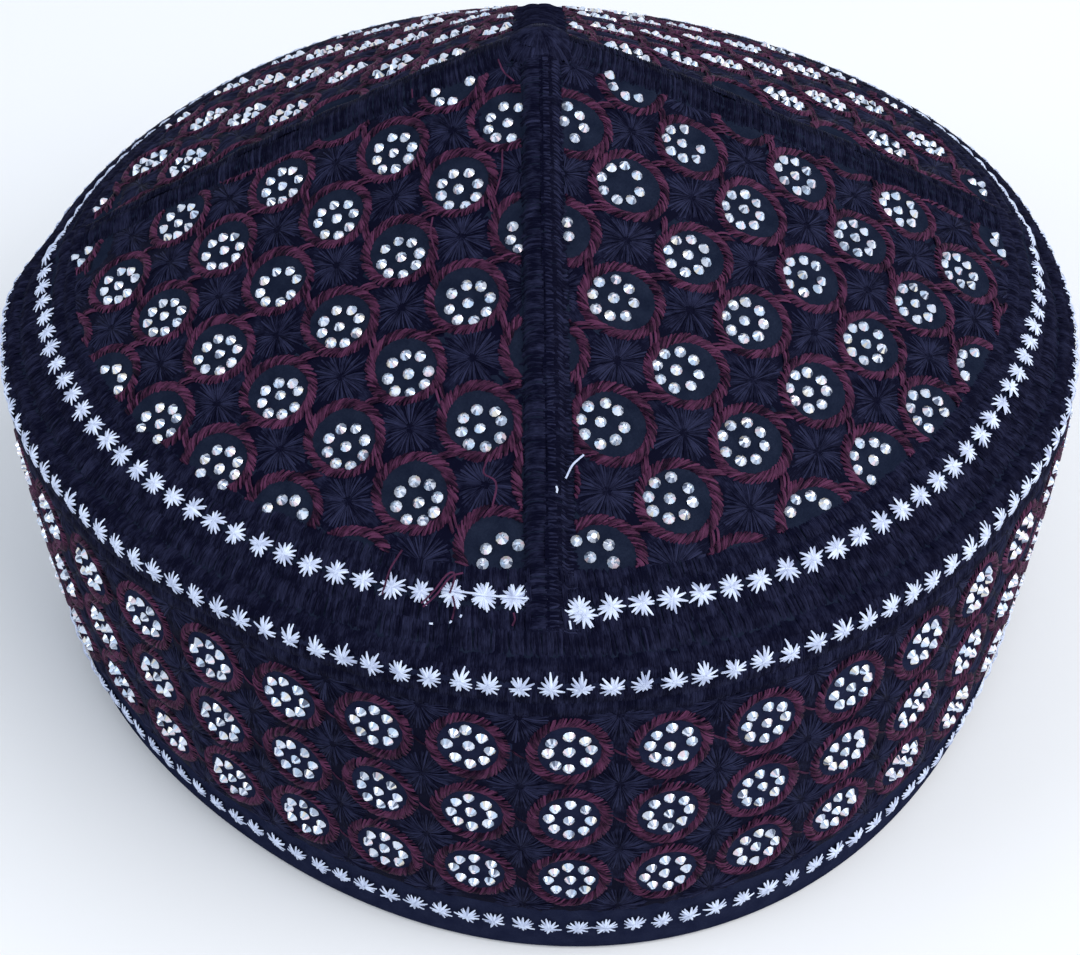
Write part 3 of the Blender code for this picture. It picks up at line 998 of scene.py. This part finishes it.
white_thread = fabric("white_thread", embroidery_thread, WHITE, 0.2, THREAD_BUMP)
turn = math.tau * ROWS_RADIUS / STARS_ROUND_BAND
star_batches = []
for height, offset in STAR_LINES:
    centres = np.array([(offset + k * turn, height) for k in range(STARS_ROUND_BAND)])
    star_batches.append(star_batch(band_face, centres))
for gore in GORES:
    ribs = (gore.first, gore.last)
    begin, end = (FIRST_STAR_AT_SIDE if is_side_rib(rib) else FIRST_STAR_AHEAD for rib in ribs)
    count = int(round((gore.last - gore.first - begin - end) * STAR_LINE_RADIUS / CROWN_STAR_PITCH)) + 1
    azimuth = np.linspace(gore.first + begin, gore.last - end, count)
    line_reach = STAR_LINE_REACH + BACK_LINE_DROP * smooth_step((0.45 - np.cos(azimuth)) / 0.65)
    if gore.name == "front_left":
        line_reach -= LINE_RISE * smooth_step((azimuth - gore.last + RISE_SPAN) / RISE_SPAN)
    centres = line_reach[:, None] * slope_way(gore, azimuth)
    face = gore_face(gore, over_ribs=True)
    star_batches.append(star_batch(face, centres))
    # Beside the front rib some stars are stitched over twice, and one hangs below the line.
    if gore.name == "front_left":
        star_batches.append(star_batch(face, centres[-3:]))
    if gore.name == "front_right":
        star_batches.append(star_batch(face, centres[:1] + np.array([-0.2, -1.2]) * MM))
thread_object("white_stars", star_batches, white_thread)

# Loose threads
# Threads that were carried over from one figure to the next and never trimmed, and the frayed ends beside the
# front rib. They lie on the stitching or stand up a little from it.
LOOSE_MAROON = {
    # gore: ((across, up, lift) in mm on the flat cloth, from end to end)
    "front_left": (
        ((9.0, -19.5, 0.5), (11.4, -22.3, 0.9), (13.0, -26.0, 0.5)),
        ((-13.0, -16.0, 0.5), (-12.4, -17.8, 0.9), (-11.0, -19.0, 0.5)),
        ((7.5, -34.0, 0.6), (9.6, -36.8, 1.0), (13.0, -39.0, 0.6)),
        ((38.5, -58.0, 0.6), (39.8, -61.2, 1.2), (42.2, -60.3, 1.3), (43.5, -63.5, 0.6)),
        ((38.0, -76.0, 0.5), (38.6, -79.0, 1.1), (40.0, -82.5, 0.6)),
        ((45.0, -80.0, 1.0), (45.5, -77.5, 1.5), (45.0, -74.5, 1.4), (46.0, -73.5, 1.2), (47.0, -76.5, 0.9)),
        ((45.5, -80.2, 1.0), (46.0, -77.7, 1.4), (45.6, -74.7, 1.3), (46.6, -73.2, 1.0)),
        ((47.5, -76.5, 0.8), (48.8, -77.4, 1.2), (49.5, -79.0, 0.8)),
        ((55.0, -73.0, 0.6), (55.8, -73.6, 0.9), (56.0, -74.5, 0.6)),
        ((-2.5, -7.0, 0.5), (0.2, -8.6, 0.9), (2.5, -9.0, 0.5)),
    ),
}
LOOSE_WHITE = {
    "front_right": (
        ((-40.2, -56.7, 1.0), (-42.4, -57.0, 1.5), (-44.3, -57.9, 1.0)),
        ((-46.0, -58.0, 1.2), (-46.2, -58.5, 1.3), (-46.6, -58.8, 1.2)),
        ((-56.0, -70.0, 0.7), (-56.3, -70.4, 0.9), (-56.5, -70.9, 0.7)),
        ((-56.5, -73.0, 0.7), (-56.8, -73.5, 0.9), (-57.1, -74.0, 0.7)),
    ),
    "front_left": (
        ((46.0, -76.6, 0.9), (51.5, -73.2, 1.0), (57.5, -68.6, 0.9)),
        ((50.0, -77.7, 0.7), (50.1, -77.9, 0.8), (50.1, -78.1, 0.7)),
        ((49.5, -79.2, 0.7), (49.6, -79.4, 0.8), (49.5, -79.6, 0.7)),
        ((47.9, -81.1, 0.7), (47.7, -81.3, 0.8), (47.5, -81.4, 0.7)),
    ),
}
LOOSE_STRAND = 0.26 * MM
LOOSE_TONE = (0.6, 0.1)


def loose_threads(gore, paths):
    """Thin threads through these places of the flat gore, rounded off between them."""
    t = np.linspace(0, 1, 13)
    lines = []
    for path in paths:
        knots = np.linspace(0, 1, len(path))
        soft = np.stack([np.interp(t, knots, side) for side in np.array(path).T], -1) * MM
        for _ in range(3):
            soft[1:-1] = (soft[:-2] + 2 * soft[1:-1] + soft[2:]) / 4
        lines.append(soft)
    lines = np.array(lines)
    along = np.gradient(lines[..., :2], axis=1)
    along /= np.maximum(np.linalg.norm(along, axis=-1, keepdims=True), 1e-9)
    cloth = np.repeat(lines[:, :, None], 3, axis=2)
    for k, sign in enumerate((-0.5, 0.0, 0.5)):
        cloth[:, :, k, :2] += sign * LOOSE_STRAND * leftward(along)
        cloth[:, :, k, 2] -= abs(sign) * 0.3 * LOOSE_STRAND
    return batch(gore_face(gore), cloth, LOOSE_TONE)


for name, loose, material, slot in (
    ("loose_maroon", LOOSE_MAROON, maroon_thread, "maroon_thread"),
    ("loose_white", LOOSE_WHITE, white_thread, "white_thread"),
):
    batches = [loose_threads(gore, loose[gore.name]) for gore in GORES if gore.name in loose]
    thread_object(name, batches, material)

# Cut stones
# Flat-backed cut stones of 1.8 mm with a small table and ten crown facets, silvered behind and glued on,
# nine to a ring: one in the middle and eight round it. On the crown they sit a little off the rings' centres.
# Each crown facet is painted with a reflection or a glint, one side of each stone with shade, and the stones
# glow faintly.
STONE_RADIUS = 0.87 * MM
STONE_SIDES = 10
STONE_TABLE = 0.42
STONE_CROWN = 0.60 * MM
STONE_GIRDLE = 0.14 * MM
STONE_BACK = 0.9
LEVEL = 0.9
BAND_CLUSTER_RADIUS = 3.0 * MM
CROWN_CLUSTER_RADIUS = 2.97 * MM
EMPTY_RINGS = {("front_right", 1, 1), ("front_left", -1, 1), ("back_right", -2, 1), ("back_left", 2, 1)}
# How far a stone's middle keeps from the black edges along the ribs, in mm
STONE_CLEARANCE = {"front_right": -0.2, "front_left": 0.0, "back_right": 1.0, "back_left": 1.0}
LOST_STONES = {
    # gore, column and row of the ring: which stones, 0 to 7 round it and 8 in the middle
    ("front_right", 0, 0): (5, 6, 8),
    ("front_right", -1, 1): (8,),
    ("front_right", 0, 1): (6,),
    ("front_right", -2, 5): (8,),
    ("front_right", -1, 5): (5,),
    ("front_right", 1, 5): (8,),
    ("front_left", 0, 0): (6, 8),
    ("front_left", 4, 4): (6,),
    ("front_left", 0, 3): (8,),
    ("front_left", -1, 5): (8,),
    ("front_left", 2, 5): (8,),
    ("back_right", -4, 4): (0, 1, 7),
    ("back_right", -3, 2): (4, 5, 6),
    ("back_left", 3, 2): (3,),
}
# Painted reflections: each crown facet is painted a bright glint, a tinted glint or a dark reflection, picked
# by chance with these shares.
BRIGHT_GLINTS = [(0.76, 0.82, 0.95), (0.56, 0.70, 0.90), (0.86, 0.72, 0.80), (0.82, 0.78, 0.70)]
DARK_REFLECTIONS = [(0.36, 0.42, 0.54), (0.14, 0.17, 0.25)]
FACET_REFLECTIONS = np.array(BRIGHT_GLINTS + DARK_REFLECTIONS)
REFLECTION_SHARES = (0.44, 0.20, 0.09, 0.06, 0.13, 0.08)
FOIL_EDGE = np.array([0.15, 0.10, 0.06])

bpy.ops.object.select_all(action="DESELECT")
bpy.ops.mesh.primitive_cone_add(
    vertices=STONE_SIDES,
    radius1=STONE_RADIUS,
    radius2=STONE_RADIUS * STONE_TABLE,
    depth=STONE_CROWN,
    location=(0, 0, STONE_GIRDLE + STONE_CROWN / 2),
)
stone = bpy.context.object
bpy.ops.object.transform_apply(location=True, rotation=False, scale=False)


def pick_faces(obj, wanted):
    """Goes into edit mode with only these faces selected."""
    bpy.ops.object.mode_set(mode="EDIT")
    bpy.ops.mesh.select_all(action="DESELECT")
    bpy.ops.object.mode_set(mode="OBJECT")
    for polygon in obj.data.polygons:
        polygon.select = wanted(polygon.normal.z)
    bpy.ops.object.mode_set(mode="EDIT")


pick_faces(stone, lambda up: up < -LEVEL)
bpy.ops.mesh.extrude_region_move(TRANSFORM_OT_translate={"value": (0, 0, -STONE_GIRDLE)})
bpy.ops.transform.resize(value=(STONE_BACK, STONE_BACK, 1.0))
pick_faces(stone, lambda up: up > LEVEL)
bpy.ops.mesh.poke()
bpy.ops.object.mode_set(mode="OBJECT")
stone_points = np.array([v.co for v in stone.data.vertices])
stone_faces = [list(p.vertices) for p in stone.data.polygons]
facet_up = np.array([p.normal.z for p in stone.data.polygons])
facet_way = np.array([math.atan2(p.center.y, p.center.x) for p in stone.data.polygons])
bpy.data.objects.remove(stone)


def unit(vectors):
    return vectors / np.linalg.norm(vectors, axis=1, keepdims=True)


def cluster_centres(centres, radius, turned):
    """Nine places to a ring, on the flat cloth: eight round and one in the middle."""
    count = len(centres)
    angle = np.arange(8) * math.pi / 4 + math.pi / 2 + math.radians(turned)
    angle = angle[None] + chance.normal(0, 0.05, (count, 1)) + chance.normal(0, 0.05, (count, 8))
    reach = radius * (1 + chance.normal(0, 0.03, angle.shape))
    places = np.concatenate([reach[..., None] * ways(angle), stray(0.12, (count, 1, 2))], 1)
    return (places + centres[:, None]).reshape(-1, 2)


def set_stones(face, places):
    """Copies of the stone standing on the cloth, each turned and tilted a little by chance."""
    count = len(places)
    spot = np.concatenate([places, np.zeros((count, 1))], 1)
    here = lay_on(face, spot)
    ahead = unit(lay_on(face, spot + [FACE_STEP, 0, 0]) - here)
    above = (lay_on(face, spot + [0, 0, 1 * MM]) - here) / MM
    tilt = chance.normal(0, 0.06, (count, 2))
    up = unit(above + tilt[:, :1] * ahead + tilt[:, 1:] * np.cross(above, ahead))
    beside = unit(np.cross(up, ahead))
    ahead = np.cross(beside, up)
    spin = ways(chance.uniform(0, math.tau, count))
    x = spin[:, :1] * ahead + spin[:, 1:] * beside
    y = np.cross(up, x)
    local = stone_points[None] * chance.normal(1.0, 0.025, (count, 1, 1))
    return here[:, None] + sum(local[..., k, None] * axis[:, None] for k, axis in enumerate((x, y, up)))


def stones_kept(gore, places, nodes):
    """No stone where a rib's black edge or the border lies over it, nor where the real cap has lost it."""
    azimuth, share = gore_place(gore, *places.T)
    part = (azimuth - gore.first) / (gore.last - gore.first)
    end = (gore.stones_end[0] + (gore.stones_end[1] - gore.stones_end[0]) * part) * MM
    clear = edge_gap(gore, azimuth, share) > STONE_CLEARANCE[gore.name] * MM
    kept = clear & (np.hypot(*places.T) < end)
    for k, node in enumerate(np.repeat(nodes, 9, axis=0)):
        ring = (gore.name, *node)
        if ring in EMPTY_RINGS or k % 9 in LOST_STONES.get(ring, ()):
            kept[k] = False
    return kept


stone_sets = [set_stones(band_face, cluster_centres(band_centres, BAND_CLUSTER_RADIUS, 0.0))]
for gore in GORES:
    centres, nodes = gore_lattice(gore)
    places = cluster_centres(centres, CROWN_CLUSTER_RADIUS, gore.turn)
    stone_sets.append(set_stones(gore_face(gore), places[stones_kept(gore, places, nodes)]))

set_points = np.concatenate(stone_sets)
count, facets = len(set_points), len(stone_faces)
faces = [[k * len(stone_points) + i for i in f] for k in range(count) for f in stone_faces]
mesh = bpy.data.meshes.new("cut_stones")
mesh.from_pydata(set_points.reshape(-1, 3).tolist(), [], faces)
mesh.update()
cut_stones = add_object("cut_stones", mesh)

colours = FACET_REFLECTIONS[chance.choice(len(FACET_REFLECTIONS), (count, facets), p=REFLECTION_SHARES)]
# Painted shade: one side of each stone, turned by chance, is painted darker.
shaded = 0.5 + 0.5 * np.cos(facet_way[None] - chance.uniform(0, math.tau, (count, 1)))
colours = colours * (1 - 0.3 * shaded**3 * chance.uniform(0, 1, (count, 1)))[..., None]
colours = colours * chance.uniform(0.88, 1.0, (count, 1, 1))
colours[:, facet_up < 0.3] = FOIL_EDGE
colours = np.concatenate([colours, np.ones((count, facets, 1))], -1)
layer = mesh.attributes.new("facet", "FLOAT_COLOR", "FACE")
layer.data.foreach_set("color", colours.ravel().astype(np.float32))

cut_stone, tree, shader = new_material("cut_stone")
facet = add_node(tree, "Attribute", "Color", {}, attribute_name="facet")
glass = {"Metallic": 0.5, "Roughness": 0.16, "Coat Weight": 0.3, "Coat Roughness": 0.03}
# The facets' painted reflections also feed a faint emission: a painted glow, though the stones are no lamp.
fill_inputs(tree, shader, {"Base Color": facet, "Emission Color": facet, "Emission Strength": 0.10, **glass})
finish_piece(cut_stones, cut_stone)

# Floor, light and camera
# A plain pale floor under soft light from a bright sky and two large panels.
CAMERA_DISTANCE = 302.5 * MM
CAMERA_ELEVATION = math.radians(40.96)
CAMERA_TILT = math.radians(44.29)
CAMERA_YAW = math.radians(0.24)
CAMERA_ROLL = math.radians(-0.83)
AIM_HEIGHT = 31.2 * MM
LENS = 54.98

bpy.ops.object.select_all(action="DESELECT")
bpy.ops.mesh.primitive_plane_add(size=6.0, location=(0, 0, 0))
floor = bpy.context.object
floor.name = "floor"
floor_paint, tree, shader = new_material("floor_paint")
fill_inputs(tree, shader, {"Base Color": (0.82, 0.83, 0.85, 1), "Roughness": 0.7})
floor.data.materials.append(floor_paint)

world = bpy.data.worlds.new("sky")
world.use_nodes = True
tree = world.node_tree
fill_inputs(tree, tree.nodes["Background"], {"Color": (0.86, 0.92, 1.0, 1), "Strength": 0.80})
bpy.context.scene.world = world
bpy.context.scene.view_settings.view_transform = "Standard"


def add_panel(name, location, size, power, colour):
    lamp = bpy.data.lights.new(name, "AREA")
    lamp.shape, lamp.size, lamp.energy, lamp.color = "DISK", size, power, colour
    obj = add_object(name, lamp)
    obj.location = location
    obj.rotation_euler = (-obj.location).to_track_quat("-Z", "Y").to_euler()


add_panel("key_panel", (0.95, -0.45, 1.0), 1.4, 17.0, (1.0, 0.98, 0.96))
add_panel("fill_panel", (-1.0, -0.3, 0.55), 0.6, 3.0, (0.9, 0.95, 1.0))

lens = bpy.data.cameras.new("camera")
lens.lens, lens.sensor_width, lens.clip_start = LENS, 36.0, 0.01
camera = add_object("camera", lens)
reach = CAMERA_DISTANCE * math.cos(CAMERA_ELEVATION)
camera.location = (0, -reach, AIM_HEIGHT + CAMERA_DISTANCE * math.sin(CAMERA_ELEVATION))
camera.rotation_mode = "QUATERNION"
turned = Matrix.Rotation(CAMERA_YAW, 3, "Z") @ Matrix.Rotation(math.pi / 2 - CAMERA_TILT, 3, "X")
camera.rotation_quaternion = (turned @ Matrix.Rotation(CAMERA_ROLL, 3, "Z")).to_quaternion()
bpy.context.scene.camera = camera
